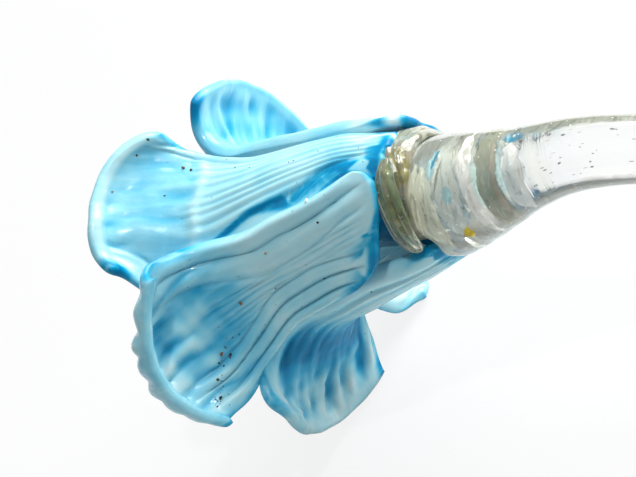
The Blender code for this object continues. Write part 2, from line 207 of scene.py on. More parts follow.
# Grains on each petal: shares along and across it, half size (mm), paleness.
GRIT = {
    "petal_5": ((0.21, 0.94, 0.27, 1.0), (0.21, 0.52, 0.18, 0.0), (0.22, -0.43, 0.17, 0.0),
                (0.56, 0.03, 0.24, 0.4), (0.70, -0.39, 0.30, 0.3), (0.68, -0.48, 0.22, 0.0),
                (0.73, -0.46, 0.16, 0.0), (0.77, -0.60, 0.18, 0.0), (0.81, -0.80, 0.22, 0.0),
                (0.43, 0.54, 0.20, 0.6)),
    "petal_4": ((0.35, 0.71, 0.13, 0.0),),
    "petal_1": ((0.75, 0.56, 0.25, 0.3), (0.72, 0.54, 0.15, 0.2), (0.98, 0.89, 0.18, 0.1),
                (0.93, 0.66, 0.14, 0.1), (0.94, 0.11, 0.15, 0.5), (0.77, 0.08, 0.12, 0.1)),
}
GRIT_TRAIL = ((0.60, -0.20), (0.85, -0.88))
TRAIL_GRAINS = 22
DUST_GRAINS = 90

# Glass: refraction, and the colours of the clear kinds and of the painted shade toward their outlines.
GLASS_IOR = 1.5
CLEAR_GLASS = (0.98, 0.99, 0.98)
CLEAR_EDGE_SHADE = (0.34, 0.36, 0.30)
OLIVE_GLASS = (0.86, 0.88, 0.72)
OLIVE_EDGE_SHADE = (0.40, 0.42, 0.32)
SEED_GREY = (0.16, 0.17, 0.17)
SPARK_WHITE = (1.0, 1.0, 0.98)

# Camera: direction from the flower, roll about the line of sight, and where the flower's
# origin sits in front of it (right, up, toward the lens) in metres.
CAMERA_AZIMUTH = math.radians(44.73)
CAMERA_ELEVATION = math.radians(36.70)
CAMERA_ROLL = math.radians(-42.12)
CAMERA_LENS = 116.04
HEAD_IN_VIEW = Vector((0.0100, 0.0047, -0.2500))
FLOOR_HALF = 3.0


def pen_frames():
    """World matrices of the flower head, the collar behind it and the handle."""
    rest = Matrix.Rotation(REST_ROLL, 4, "X") @ Matrix.Rotation(REST_PITCH, 4, "Y")
    pen = Matrix.Translation(REST_PLACE) @ rest
    head = pen @ Matrix.Rotation(-(math.pi / 2.0 + HEAD_BEND), 4, "Y")
    behind = head @ Matrix.Translation((HANDLE_OFFSET * math.cos(HANDLE_OFFSET_AZIMUTH),
                                        HANDLE_OFFSET * math.sin(HANDLE_OFFSET_AZIMUTH), 0.0))
    handle = behind @ head.inverted() @ pen
    return head, behind, handle


HEAD, BEHIND, HANDLE = pen_frames()


# ---------------------------------------------------------------- shape helpers

def ease(x, low, high):
    """Smooth step from 0 at low to 1 at high."""
    t = np.clip((np.asarray(x, dtype=float) - low) / (high - low), 0.0, 1.0)
    return t * t * (3.0 - 2.0 * t)


def hump(x, middle, width):
    """Bell of height 1 around middle."""
    return np.exp(-((np.asarray(x, dtype=float) - middle) / width) ** 2)


def spread(count, low, high, pull=0.6):
    """Values from low to high that crowd together at both ends."""
    x = np.linspace(0.0, 1.0, count)
    return low + (high - low) * (x - pull * np.sin(2.0 * np.pi * x) / (2.0 * np.pi))


def circle(count):
    """Azimuths once around, as the columns of a grid."""
    return np.linspace(0.0, 2.0 * np.pi, count, endpoint=False)[None, :]


def turned(radius, azimuth, height):
    """Points around the flower's axis."""
    return np.stack([radius * np.cos(azimuth), radius * np.sin(azimuth), height + 0.0 * azimuth], axis=2)


def wander(x, y, seed, octaves=4):
    """Smooth uneven field between about -1 and 1, from crossed sine waves."""
    dice = np.random.default_rng(seed)
    total = np.zeros(np.broadcast(x, y).shape)
    for octave in range(octaves):
        size = 1.6 ** octave
        a, b = dice.uniform(0.5, 1.2, 2) * size
        p, q = dice.uniform(0.0, 2.0 * np.pi, 2)
        total += np.sin(a * x + 0.7 * b * y + p) * np.cos(b * y - 0.4 * a * x + q) / (1.0 + 0.7 * octave)
    return total / 1.6


def surface_normals(points, toward):
    """Unit normals of a grid of points, on the side that `toward` points to."""
    normals = np.cross(np.gradient(points, axis=0), np.gradient(points, axis=1))
    normals /= np.linalg.norm(normals, axis=2, keepdims=True)
    side = np.sign((normals * toward).sum(axis=2, keepdims=True))
    return normals * np.where(side == 0.0, 1.0, side)


def rounded(distance, radius):
    """Share of full thickness at a distance inside a round edge."""
    inside = 1.0 - np.clip(distance / radius, 0.0, 1.0)
    return np.sqrt(np.clip(1.0 - inside * inside, 0.0, 1.0))


def quads(index):
    """Faces of a grid of vertex numbers."""
    return np.stack([index[:-1, :-1], index[1:, :-1], index[1:, 1:], index[:-1, 1:]], axis=2).reshape(-1, 4)


def make_piece(name, points, faces, matrix, material, replaced, attributes=None):
    """A smooth closed mesh from points in millimetres, riding on the pen's one body."""
    mesh = bpy.data.meshes.new(name)
    mesh.from_pydata((np.asarray(points) * MM).tolist(), [], [list(face) for face in faces])
    for key, values in (attributes or {}).items():
        values = np.asarray(values, dtype=np.float32)
        kind = "FLOAT" if values.ndim == 1 else "FLOAT_VECTOR"
        layer = mesh.attributes.new(key, kind, "POINT")
        layer.data.foreach_set("value" if values.ndim == 1 else "vector", values.ravel())
    work = bmesh.new()
    work.from_mesh(mesh)
    bmesh.ops.recalc_face_normals(work, faces=work.faces)
    work.to_mesh(mesh)
    work.free()
    mesh.shade_smooth()
    mesh.transform(matrix)
    mesh.materials.append(material)
    piece = bpy.data.objects.new(name, mesh)
    bpy.context.scene.collection.objects.link(piece)
    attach(piece, "root")
    if replaced:
        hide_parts(*replaced)
    return piece


def ball(subdivisions):
    """Points and triangles of a unit ball."""
    work = bmesh.new()
    bmesh.ops.create_icosphere(work, subdivisions=subdivisions, radius=1.0)
    points = np.array([vert.co for vert in work.verts])
    faces = np.array([[vert.index for vert in face.verts] for face in work.faces])
    work.free()
    return points, faces


def many(shapes, faces):
    """Points and faces of many copies of one shape."""
    count = len(shapes[0])
    copies = [faces + number * count for number in range(len(shapes))]
    return np.concatenate(shapes), np.concatenate(copies).tolist()


# ---------------------------------------------------------------- petals

def whole_petal(values, seed):
    """All the values of one petal, with the lengths that follow from them."""
    petal = SimpleNamespace(**{**PLAIN, **values}, seed=seed)
    petal.open_from = petal.neck + petal.foot
    petal.length = petal.foot + petal.neck + petal.blade
    return petal


def by_side(v, pair):
    """The first value on the low side of a petal and the second on the high side."""
    return np.where(v < 0.0, *pair)


def petal_ends(petal, v):
    """Where the petal starts and where its rim lies, for each place across it."""
    begin = petal.slant * (0.5 - 0.5 * v) ** 2 + BASE_TRIM * v ** 6 - EARLY_START
    begin = begin + START_WANDER * (1.0 + wander(0.0 * v, 4.0 * v, petal.seed + 31))
    end = petal.length + petal.skew * v - petal.bow * v * v
    scallop = np.cos(0.8 * np.pi * petal.ripples * v + 1.2 * np.sin(4.0 * v + petal.seed) + petal.seed)
    end = end + petal.wavy * scallop * (1.0 - v ** 4)
    return begin, end - by_side(v, petal.trim) * v ** 6


def petal_line(petal, station, end):
    """Radius, height and slope of the petal's middle line at each station."""
    fine = np.linspace(-EARLY_START, petal.length + 3.0, LINE_POINTS)[:, None]
    lean, flare, lip = (math.radians(value) for value in (petal.lean, petal.flare, petal.lip))
    slope = lean + (flare - lean) * ease(fine, petal.open_from - 6.0, petal.open_from + 4.0)
    slope = slope + (lip - flare) * ease(fine, end - 6.0, end)
    step = fine[1, 0] - fine[0, 0]
    radius = petal.start - EARLY_START * math.sin(lean) + np.cumsum(np.sin(slope), axis=0) * step
    height = PETAL_START - petal.foot - EARLY_START * math.cos(lean)
    height = height + np.cumsum(np.cos(slope), axis=0) * step
    return [np.stack([np.interp(station[:, column], fine[:, 0], values[:, column])
                      for column in range(PETAL_COLUMNS)], axis=1)
            for values in (radius, height, slope)]


def petal_half_width(petal, station, v):
    """Half width of start, neck and blade, with each side's own waist."""
    start, neck, blade = petal.widths
    half = start + (neck - start) * ease(station, 0.0, 12.0)
    half = half + (blade - neck) * ease(station, petal.open_from - 8.0, petal.open_from + 7.0)
    waist = ease(station, 4.0, 14.0) * (1.0 - ease(station - petal.open_from, 4.0, 10.0))
    half = half + by_side(v, petal.widen) * waist * ease(np.abs(v), 0.0, 1.0)
    opening = ease(station - petal.open_from, 0.0, 8.0)
    return half + by_side(v, petal.spread) * opening * ease(np.abs(v), 0.2, 1.0)


def petal_thickness(petal, station, v):
    """Thickness of the sheet: thin at start and rim, thickest along the neck's edges."""
    grow = ease(station, 0.0, 9.0)
    thin = ease(station, petal.open_from - 3.0, petal.open_from + 4.0)
    sheet = BASE_SHEET + (NECK_SHEET - BASE_SHEET) * grow + (RIM_SHEET - NECK_SHEET) * thin
    edge = BASE_SHEET + (NECK_EDGE - BASE_SHEET) * grow + (RIM_SHEET - NECK_EDGE) * thin
    return sheet + (edge - sheet) * ease(np.abs(v), 0.6, 0.9)


def petal_bend(petal, station, end, v, half, radius):
    """How far each point lies sideways and outward from the middle line."""
    opened = ease(station, petal.length - (petal.blade + 6.0), petal.length)
    overlapped = 1.0 - ease(station, petal.length - (petal.blade + 4.0), petal.length)
    curvature = (1.0 - 0.98 * opened) / radius
    turn = half * v * curvature
    lift = (np.cos(turn) - 1.0) / curvature + 1.2 * v * v * opened
    lift = lift + by_side(v, petal.tuck) * v * v * overlapped
    in_blade = station - petal.open_from
    lift = lift - by_side(v, petal.sink) * ease(np.abs(v), 0.3, 0.9) * ease(in_blade, 0.0, 8.0)
    hollow = ease(in_blade, -2.0, 6.0) * ease(end - station, 0.0, 5.0)
    dish = petal.dish * (1.0 - v ** 4) * (1.0 - 0.5 * ease(v, 0.2, 0.9))
    return np.sin(turn) / curvature, lift - dish * hollow + petal.curl * v ** 4 * hollow


def petal_fields(petal):
    """Middle surface of a petal and the distances that its relief and colour depend on."""
    u = spread(PETAL_ROWS, 0.0, 1.0)[:, None]
    v = spread(PETAL_COLUMNS, -1.0, 1.0)[None, :]
    begin, end = petal_ends(petal, v)
    station = begin + (end - begin) * u
    radius, height, slope = petal_line(petal, station, end)
    half = petal_half_width(petal, station, v)
    offset, lift = petal_bend(petal, station, end, v, half, radius)
    first, last = (math.radians(value) for value in petal.azimuth)
    azimuth = first + (last - first) * ease(station, 0.0, 0.7 * petal.length)
    zero = np.zeros_like(azimuth)
    out = np.stack([np.cos(azimuth), np.sin(azimuth), zero], axis=2)
    side = np.stack([-np.sin(azimuth), np.cos(azimuth), zero], axis=2)
    axis = np.stack([zero, zero, zero + 1.0], axis=2)
    normal = np.cos(slope)[..., None] * out - np.sin(slope)[..., None] * axis
    middle = radius[..., None] * out + height[..., None] * axis + offset[..., None] * side
    middle = middle + lift[..., None] * normal
    return SimpleNamespace(middle=middle, normal=surface_normals(middle, normal), station=station,
                           v=v + 0.0 * station, arc=half * v, base=station - begin,
                           rim=end - station, edge=(1.0 - np.abs(v)) * half,
                           half_thick=0.5 * petal_thickness(petal, station, v),
                           from_open=station - petal.open_from)


def edge_rolls(fields, petal):
    """Fat smooth rolls along the neck's two long edges, and the share of the face they cover."""
    height = np.zeros_like(fields.v)
    cover = np.zeros_like(fields.v)
    for low, (count, width) in zip((True, False), petal.rolls):
        mine = fields.v < 0.0 if low else fields.v >= 0.0
        inside = fields.edge / width
        roll = np.sqrt(np.abs(np.sin(np.pi * np.clip(inside, 0.0, count))) + 0.001)
        here = 1.0 - ease(inside, count - 0.15, count + 0.15)
        height += np.where(mine, (roll - 0.75) * here, 0.0)
        cover += np.where(mine, here, 0.0)
    return height, cover


def neck_ribs(fields, petal, face, cover):
    """Ribs along the neck with narrow valleys, and how strongly they show."""
    v, seed = fields.v, petal.seed
    sway = 0.10 * wander(0.9 * seed, 3.5 * v, seed)
    sway = sway + 0.05 * wander(0.18 * fields.station, 3.0 * v, seed + 1)
    rib = np.sqrt(0.015 + np.cos(0.5 * np.pi * petal.ribs * (v + sway) + seed + face) ** 2)
    on_neck = ease(fields.base, 0.6, 5.0) * (1.0 - ease(fields.from_open, -1.0, 6.0))
    depth = 0.75 + 0.45 * wander(0.12 * fields.station, 3.0 * v, seed + 2)
    return rib, on_neck * (1.0 - cover) * depth


def blade_ripples(fields, petal, face):
    """Broken ripples in the blade, and how strongly they show."""
    v, opened, seed = fields.v, fields.from_open, petal.seed
    warp = 1.2 * wander(0.22 * opened, 2.4 * v, seed + 7) + 0.3 * wander(0.5 * opened, 4.0 * v, seed + 8)
    ripple = np.sqrt(0.05 + np.cos(0.5 * np.pi * petal.ripples * v + warp + 0.7 * seed + face) ** 2)
    broken = np.clip(0.75 + 0.80 * wander(0.42 * opened, 4.0 * v, seed + 3), 0.05, 1.4)
    return ripple, broken * (1.0 - 0.7 * ease(np.abs(v), 0.84, 0.97))


def petal_relief(fields, petal, face):
    """Height of all the relief on one face, and how pale it is from 0 to 1, with painted light on raised
    relief and painted shade in its hollows.
    """
    v, rim, opened, seed = fields.v, fields.rim, fields.from_open, petal.seed
    roll, cover = edge_rolls(fields, petal)
    roll = roll * ease(fields.base, 0.6, 5.0) * ease(rim, 2.0, 9.0)
    rib, rib_share = neck_ribs(fields, petal, face, cover)
    in_blade = ease(opened, -0.5, 4.0) * ease(rim, 0.9, 3.0)
    ripple, ripple_share = blade_ripples(fields, petal, face)
    ripple_share = in_blade * ripple_share
    ridge_at = 1.2 + 1.1 * wander(0.0 * v, 3.0 * v, seed + 11)
    ridge = petal.bead * hump(opened, ridge_at, 0.7) * (1.0 - cover)
    pressed = petal.bead * ease(opened, ridge_at, ridge_at + 1.6) * ease(rim, 1.3, 2.4) * (1.0 - cover)
    bead = petal.bead * hump(rim, 1.1, 0.8)
    pucker = petal.depth * wander(0.50 * opened, 6.5 * v, seed + 41) * in_blade * (1.0 - cover)
    shared = ((ROLL, roll), (RIDGE, ridge), (BEAD, bead), (PRESSED, pressed), (PUCKER, pucker))

    height = RIB[0] * (rib - 0.5) * rib_share + petal.depth * (ripple - 0.5) * ripple_share
    height += UNEVEN_HEIGHT * wander(0.35 * fields.station, 4.0 * v, seed + 5)
    neck_tone, blade_tone, throat_shade = petal.tone
    tone = neck_tone + (blade_tone - neck_tone) * ease(opened, -7.0, 2.0)
    # Painted shade: the hollow at the foot of the blade is darkened in the tone.
    tone -= throat_shade * hump(opened, 1.0, 4.5) * (1.0 - 0.6 * cover)
    # Ribs and ripples: paler crests and darker valleys, partly the opal's own colour, partly painted light
    # and painted shade of the relief.
    tone += RIB[1] * (rib - 0.6) * rib_share
    tone += (0.10 + 0.48 * petal.depth) * (ripple - 0.6) * ripple_share
    # Paleness of rolls, ridges, bead, pressed hollows and puckers: partly the opal's own white, partly
    # painted light where they rise and painted shade where they sink.
    for (rise, paleness_and_shade), relief in shared:
        height += rise * relief * (petal.puff if relief is roll else 1.0)
        tone += paleness_and_shade * relief
    return height, tone


def swirl_share(fields, petal):
    """White streak that winds through the start of the petal."""
    middle, strength = petal.swirl
    winding = middle + 0.10 * np.sin(1.1 * fields.base)
    return strength * hump(fields.v, winding, 0.15) * (1.0 - ease(fields.base, 3.0, 9.0))


def deep_share(fields, petal):
    """Where the petal runs out into clear deep blue: its start, its edges and its corners."""
    v, rim, base = fields.v, fields.rim, fields.base
    uneven = 0.8 * wander(0.3 * fields.station, 3.0 * v, petal.seed + 21)
    start = 1.0 - ease((base + uneven) / by_side(v, petal.blue_start), 0.1, 1.0)
    edge = 0.5 * (1.0 - ease(fields.edge + 0.2 * uneven, 0.0, 0.6)) * ease(fields.from_open, -2.0, 3.0)
    corner = by_side(v, petal.corner) * ease(np.abs(v), 0.84, 0.99) * (1.0 - ease(rim, 0.8, 4.0))
    share, inset, width = petal.seam
    near_start = 1.0 - ease(fields.station, 2.0, 17.0)
    width = width + 1.1 * near_start + 0.10 * uneven
    inset = inset - 1.6 * near_start
    seam = share * (v < 0.0) * hump(fields.edge + 0.25 * uneven, inset, width)
    seam = seam * (1.0 - ease(fields.from_open, 2.0, 12.0))
    broken = wander(0.25 * fields.station, 2.2 * fields.edge, petal.seed + 25)
    seam = seam * (0.45 + 0.55 * ease(broken, -0.5, 0.0))
    # Painted highlight: pale patches that thin the deep blue at the petal's start.
    painted_highlight = ease(wander(0.45 * fields.station, 5.0 * v, petal.seed + 23), 0.0, 0.4)
    painted_highlight = painted_highlight * ease(base, 0.8, 2.0) * (1.0 - ease(base, 6.0, 13.0))
    at_start = np.maximum(start, seam) * (1.0 - 0.9 * painted_highlight) * (1.0 - swirl_share(fields, petal))
    return np.clip(np.maximum.reduce([at_start, edge, corner]), 0.0, 1.0)


def add_petal(name, petal, material):
    """One petal of two faces that share their outline. Gives its outer face to the grit."""
    fields = petal_fields(petal)
    rounding = rounded(fields.edge, fields.half_thick) * rounded(fields.rim, END_ROUND)
    rounding = rounding * rounded(fields.base, END_ROUND)
    deep = deep_share(fields, petal)
    faces_of = []
    tones = []
    for face, sign in enumerate((1.0, -1.0)):
        height, tone = petal_relief(fields, petal, face)
        reach = (fields.half_thick + height) * rounding
        faces_of.append(fields.middle + sign * reach[..., None] * fields.normal)
        tone = (tone + 0.35 * swirl_share(fields, petal)) * (1.0 - 0.9 * deep)
        tones.append(np.clip(tone, 0.0, 1.0))
    rows, columns = fields.v.shape
    outer_index = np.arange(rows * columns).reshape(rows, columns)
    inner_index = outer_index.copy()
    inner_index[1:-1, 1:-1] = rows * columns + np.arange((rows - 2) * (columns - 2)).reshape(rows - 2, -1)
    inside = (slice(1, -1), slice(1, -1))
    points = np.concatenate([faces_of[0].reshape(-1, 3), faces_of[1][inside].reshape(-1, 3)])
    faces = np.concatenate([quads(outer_index), quads(inner_index)[:, ::-1]]).tolist()
    flow = np.stack([fields.station, fields.arc, 0.0 * fields.arc], axis=2)
    both = {
        "tone": np.concatenate([tones[0].ravel(), tones[1][inside].ravel()]),
        "deep": np.concatenate([deep.ravel(), deep[inside].ravel()]),
        "flow": np.concatenate([flow.reshape(-1, 3), flow[inside].reshape(-1, 3) + (0.0, 0.0, 9.0)]),
    }
    make_piece(name + "_glass", points, faces, HEAD, material, [name], both)
    return faces_of[0], fields.normal


# ---------------------------------------------------------------- material helpers

def new_material(name):
    material = bpy.data.materials.new(name)
    material.use_nodes = True
    tree = material.node_tree
    tree.nodes.clear()
    return material, tree


def node(tree, kind, inputs=None, **settings):
    """Add a node. An input may be a value or another node's output."""
    made = tree.nodes.new(kind)
    for key, value in settings.items():
        setattr(made, key, value)
    for key, value in (inputs or {}).items():
        if isinstance(value, bpy.types.NodeSocket):
            tree.links.new(value, made.inputs[key])
        else:
            made.inputs[key].default_value = value
    return made


def calc(tree, operation, first, second=0.0, third=0.0, clamp=False):
    made = node(tree, "ShaderNodeMath", {0: first, 1: second, 2: third}, operation=operation, use_clamp=clamp)
    return made.outputs[0]


def times(tree, first, second, clamp=False):
    return calc(tree, "MULTIPLY", first, second, clamp=clamp)


def scaled(tree, value, by, plus):
    """A value times a factor, plus another value."""
    return calc(tree, "MULTIPLY_ADD", value, by, plus)


def shifted(tree, noise, by, plus):
    """A value moved up and down by noise that lies around one half."""
    return scaled(tree, calc(tree, "SUBTRACT", noise, 0.5), by, plus)


def attribute(tree, name, output="Fac"):
    return node(tree, "ShaderNodeAttribute", attribute_name=name).outputs[output]


def ramp(tree, factor, *stops):
    """Ramp through stops, each a position and then a colour or a grey."""
    made = node(tree, "ShaderNodeValToRGB", {"Fac": factor})
    while len(made.color_ramp.elements) < len(stops):
        made.color_ramp.elements.new(0.5)
    for element, (position, *colour) in zip(made.color_ramp.elements, stops):
        element.position = position
        element.color = (*(colour if len(colour) == 3 else colour * 3), 1.0)
    return made.outputs["Color"]


def mix(tree, factor, first, second):
    """Blend of two colours, each a value or another node's output."""
    colours = [value if isinstance(value, bpy.types.NodeSocket) else (*value, 1.0)
               for value in (first, second)]
    return node(tree, "ShaderNodeMix", {0: factor, 6: colours[0], 7: colours[1]}, data_type="RGBA").outputs[2]


def stretched(tree, vector, scale):
    return node(tree, "ShaderNodeVectorMath", {0: vector, 1: scale}, operation="MULTIPLY").outputs[0]


def object_place(tree, scale=(1.0, 1.0, 1.0)):
    """Position in millimetres, stretched by a scale per axis."""
    place = node(tree, "ShaderNodeTexCoord").outputs["Object"]
    return stretched(tree, place, [value / MM for value in scale])


def uneven(tree, vector, scale, detail=3.0, roughness=0.5, distortion=0.0):
    return node(tree, "ShaderNodeTexNoise",
                {"Vector": vector, "Scale": scale, "Detail": detail, "Roughness": roughness,
                 "Distortion": distortion}).outputs["Fac"]


def specks(tree, vector, scale, size, share):
    """Mask of scattered small dots: cells per millimetre, dot size in cells, share of cells."""
    cells = node(tree, "ShaderNodeTexVoronoi", {"Vector": vector, "Scale": scale, "Randomness": 1.0})
    dot = calc(tree, "LESS_THAN", cells.outputs["Distance"], size)
    pick = node(tree, "ShaderNodeSeparateColor", {"Color": cells.outputs["Color"]}).outputs[0]
    return times(tree, dot, calc(tree, "LESS_THAN", pick, share))


def bump(tree, height, distance, strength=1.0):
    return node(tree, "ShaderNodeBump",
                {"Height": height, "Distance": distance, "Strength": strength}).outputs["Normal"]


def principled(tree, inputs):
    return node(tree, "ShaderNodeBsdfPrincipled", inputs).outputs[0]


def finished(material, shader):
    """The material, with the shader wired to its output."""
    output = node(material.node_tree, "ShaderNodeOutputMaterial")
    material.node_tree.links.new(shader, output.inputs["Surface"])
    return material


# ---------------------------------------------------------------- materials

def petal_material():
    """Opal glass: white on the ribs and aqua between them, partly its own colour and partly painted light and
    shade of the relief, clear deep blue where it runs out.
    """
    material, tree = new_material("milky_blue_opal")
    deep = attribute(tree, "deep")
    flow = stretched(tree, attribute(tree, "flow", "Vector"), (0.14, 0.9, 1.0))
    streak = uneven(tree, flow, 1.0, detail=4.0)
    cloud = uneven(tree, object_place(tree), 0.16, detail=3.0, distortion=0.4)
    fine = uneven(tree, object_place(tree), 2.2, detail=2.0)
    marble = uneven(tree, object_place(tree), 0.20, detail=3.0, distortion=1.4)
    marble = ramp(tree, marble, (0.48, 0.0), (0.58, 0.20), (0.70, 0.60))
    tone = shifted(tree, streak, 0.20, attribute(tree, "tone"))
    tone = shifted(tree, cloud, 0.40, tone)
    tone = scaled(tree, deep, marble, tone)
    colour = ramp(tree, tone,
                  (0.00, 0.000, 0.210, 0.430),
                  (0.18, 0.000, 0.280, 0.560),
                  (0.36, 0.012, 0.400, 0.660),
                  (0.52, 0.120, 0.550, 0.770),
                  (0.68, 0.290, 0.710, 0.850),
                  (0.84, 0.470, 0.810, 0.880),
                  (1.00, 0.680, 0.880, 0.900))
    pale = times(tree, tone, 2.0, clamp=True)
    milky = calc(tree, "MINIMUM", calc(tree, "SUBTRACT", 1.0, deep), pale)
    height = scaled(tree, fine, 0.25, times(tree, streak, 0.6))
    return finished(material, principled(tree, {
        "Base Color": colour,
        "Roughness": scaled(tree, streak, 0.18, 0.16),
        "IOR": GLASS_IOR,
        "Specular IOR Level": scaled(tree, milky, 0.20, 0.10),
        "Subsurface Weight": times(tree, milky, 0.22),
        "Subsurface Radius": (0.8, 1.0, 1.1),
        "Subsurface Scale": 0.9 * MM,
        "Coat Weight": scaled(tree, milky, 0.35, 0.15),
        "Coat Roughness": 0.03,
        "Normal": bump(tree, height, 0.12 * MM, 0.7),
    }))


def painted_edge_shade(tree, wave):
    """Mask of painted shade that grows where the glass turns away from the eye."""
    facing = node(tree, "ShaderNodeLayerWeight", {"Blend": 0.50}).outputs["Facing"]
    return ramp(tree, shifted(tree, wave, 0.30, facing), (0.28, 0.0), (0.48, 1.0))


def streaky(tree, body, strands, haze_and_painted_light_mask):
    """A colour darkened and lightened by strands where the glass has clouds: painted light and shade on the
    collar, haze on the trails.
    """
    shade = ramp(tree, strands, (0.34, 0.60, 0.61, 0.55), (0.42, 0.95, 0.95, 0.93), (0.58, 1.0), (0.66, 1.35))
    return mix(tree, haze_and_painted_light_mask, body, stretched(tree, body, shade))


def clear_material(name, clear, edge_shade, ripple=0.12):
    """Clear hot-worked glass: painted shade toward its outline, clouds that on the collar are painted light
    and shade and on the trails their own haze, waved, with seeds.
    """
    material, tree = new_material(name)
    place = object_place(tree)
    # On the collar, cloud and veil are the strength and colour of painted light and shade; on the trails,
    # their own haze and colour.
    cloud = attribute(tree, "cloud")
    veil = attribute(tree, "veil", "Color")
    haze_and_painted_light_mask = calc(tree, "GREATER_THAN", cloud, 0.12)
    wave = uneven(tree, place, 0.20, detail=2.0, distortion=0.5)
    outline = painted_edge_shade(tree, wave)
    seeds = specks(tree, place, 0.9, 0.10, 0.22)
    sparks = times(tree, specks(tree, place, 1.5, 0.17, 0.10), haze_and_painted_light_mask)
    strands = uneven(tree, object_place(tree, (1.0, 0.28, 0.28)), 1.5, detail=4.0, distortion=0.9)
    strands = times(tree, strands, haze_and_painted_light_mask)
    height = scaled(tree, strands, 0.5, scaled(tree, seeds, 0.4, wave))
    normal = bump(tree, height, ripple * MM, 0.5)
    glass = principled(tree, {
        "Base Color": mix(tree, cloud, clear, veil),
        "Roughness": scaled(tree, wave, 0.06, 0.0),
        "IOR": GLASS_IOR,
        "Transmission Weight": 1.0,
        "Normal": normal,
    })
    # Toward the outline the colour turns to the painted edge shade, unless the clouds are strong.
    strong = times(tree, calc(tree, "SUBTRACT", cloud, 0.80), 8.0, clamp=True)
    body = mix(tree, calc(tree, "SUBTRACT", outline, strong, clamp=True), veil, edge_shade)
    body = mix(tree, times(tree, seeds, 0.6), body, SEED_GREY)
    body = streaky(tree, body, strands, haze_and_painted_light_mask)
    haze_and_painted_light = principled(tree, {
        "Base Color": mix(tree, sparks, body, SPARK_WHITE),
        "Roughness": scaled(tree, wave, 0.10, 0.08),
        "Coat Weight": 1.0,
        "Coat Roughness": 0.02,
        "Normal": normal,
    })
    # Share of the opaque shader that carries the painted edge shade, the clouds and the sparks; none seen
    # from inside.
    share = calc(tree, "MAXIMUM", times(tree, outline, 0.84), times(tree, cloud, 0.90))
    share = calc(tree, "MAXIMUM", share, sparks)
    from_inside = node(tree, "ShaderNodeNewGeometry").outputs["Backfacing"]
    share = times(tree, share, calc(tree, "SUBTRACT", 1.0, from_inside))
    return finished(material, node(tree, "ShaderNodeMixShader", {0: share, 1: glass, 2: haze_and_painted_light}).outputs[0])


def deep_material():
    """Clear deep blue glass of the core, darker and lighter in uneven clouds."""
    material, tree = new_material("deep_blue_glass")
    cloud = uneven(tree, object_place(tree), 0.35, detail=4.0, distortion=0.6)
    return finished(material, principled(tree, {
        "Base Color": ramp(tree, cloud, (0.25, 0.0, 0.10, 0.28), (0.55, 0.0, 0.27, 0.52),
                           (0.80, 0.10, 0.52, 0.75)),
        "Roughness": scaled(tree, cloud, 0.12, 0.03),
        "Transmission Weight": 0.35,
        "Coat Weight": 0.4,
        "Normal": bump(tree, cloud, 0.4 * MM, 0.5),
    }))


def frit_material():
    """Opaque yellow glass chip with darker grains."""
    material, tree = new_material("yellow_frit_glass")
    grain = uneven(tree, object_place(tree), 2.0, detail=3.0)
    return finished(material, principled(tree, {
        "Base Color": ramp(tree, grain, (0.30, 0.55, 0.36, 0.01), (0.55, 0.86, 0.66, 0.02),
                           (0.80, 0.95, 0.80, 0.15)),
        "Roughness": scaled(tree, grain, 0.3, 0.15),
        "Normal": bump(tree, grain, 0.1 * MM, 0.6),
    }))


def grain_material(name, scale, detail, stops, rough, relief, strength):
    """Small grains shaded by their own tone, from dark to pale."""
    material, tree = new_material(name)
    grain = uneven(tree, object_place(tree), scale, detail=detail)
    return finished(material, principled(tree, {
        "Base Color": ramp(tree, shifted(tree, grain, 0.4, attribute(tree, "tone")), *stops),
        "Roughness": scaled(tree, grain, 0.4, rough),
        "Normal": bump(tree, grain, relief * MM, strength),
    }))


def grit_material():
    """Burnt black grit, brown where thin, and a few pale grains."""
    stops = ((0.0, 0.02, 0.016, 0.012), (0.4, 0.22, 0.13, 0.05), (0.7, 0.60, 0.52, 0.38),
             (1.0, 0.92, 0.88, 0.80))
    return grain_material("ash_grit", 3.0, 2.0, stops, rough=0.35, relief=0.04, strength=0.8)


def seed_material():
    """Skin of trapped bubbles: grey deep inside the glass, white at its surface."""
    stops = ((0.00, 0.08), (0.60, 0.55, 0.56, 0.55), (1.00, 0.98, 0.98, 0.97))
    return grain_material("seed_skin", 0.8, 1.0, stops, rough=0.1, relief=0.02, strength=0.5)


def bubble_material():
    """Skin between glass and the air inside a bubble."""
    material, tree = new_material("bubble_skin")
    wave = uneven(tree, object_place(tree), 0.6, detail=2.0)
    return finished(material, principled(tree, {
        "Base Color": ramp(tree, wave, (0.3, 0.90, 0.94, 0.94), (0.7, 0.98, 0.98, 0.96)),
        "Roughness": times(tree, wave, 0.04),
        "IOR": 1.0 / GLASS_IOR,
        "Transmission Weight": 1.0,
        "Normal": bump(tree, wave, 0.1 * MM, 0.3),
    }))


# ---------------------------------------------------------------- handle, collar, nib

def handle_line(distances):
    """Middle line of collar and handle in the handle's frame, and its angle."""
    fine = np.linspace(0.0, NIB_START, 6000)
    angle = HEAD_BEND * (1.0 - ease(fine, BEND_START, BEND_START + BEND_LENGTH))
    step = fine[1] - fine[0]
    along = np.interp(distances, fine, np.cumsum(np.cos(angle)) * step)
    lift = np.interp(distances, fine, np.cumsum(np.sin(angle)) * step)
    return along, lift, np.interp(distances, fine, angle)


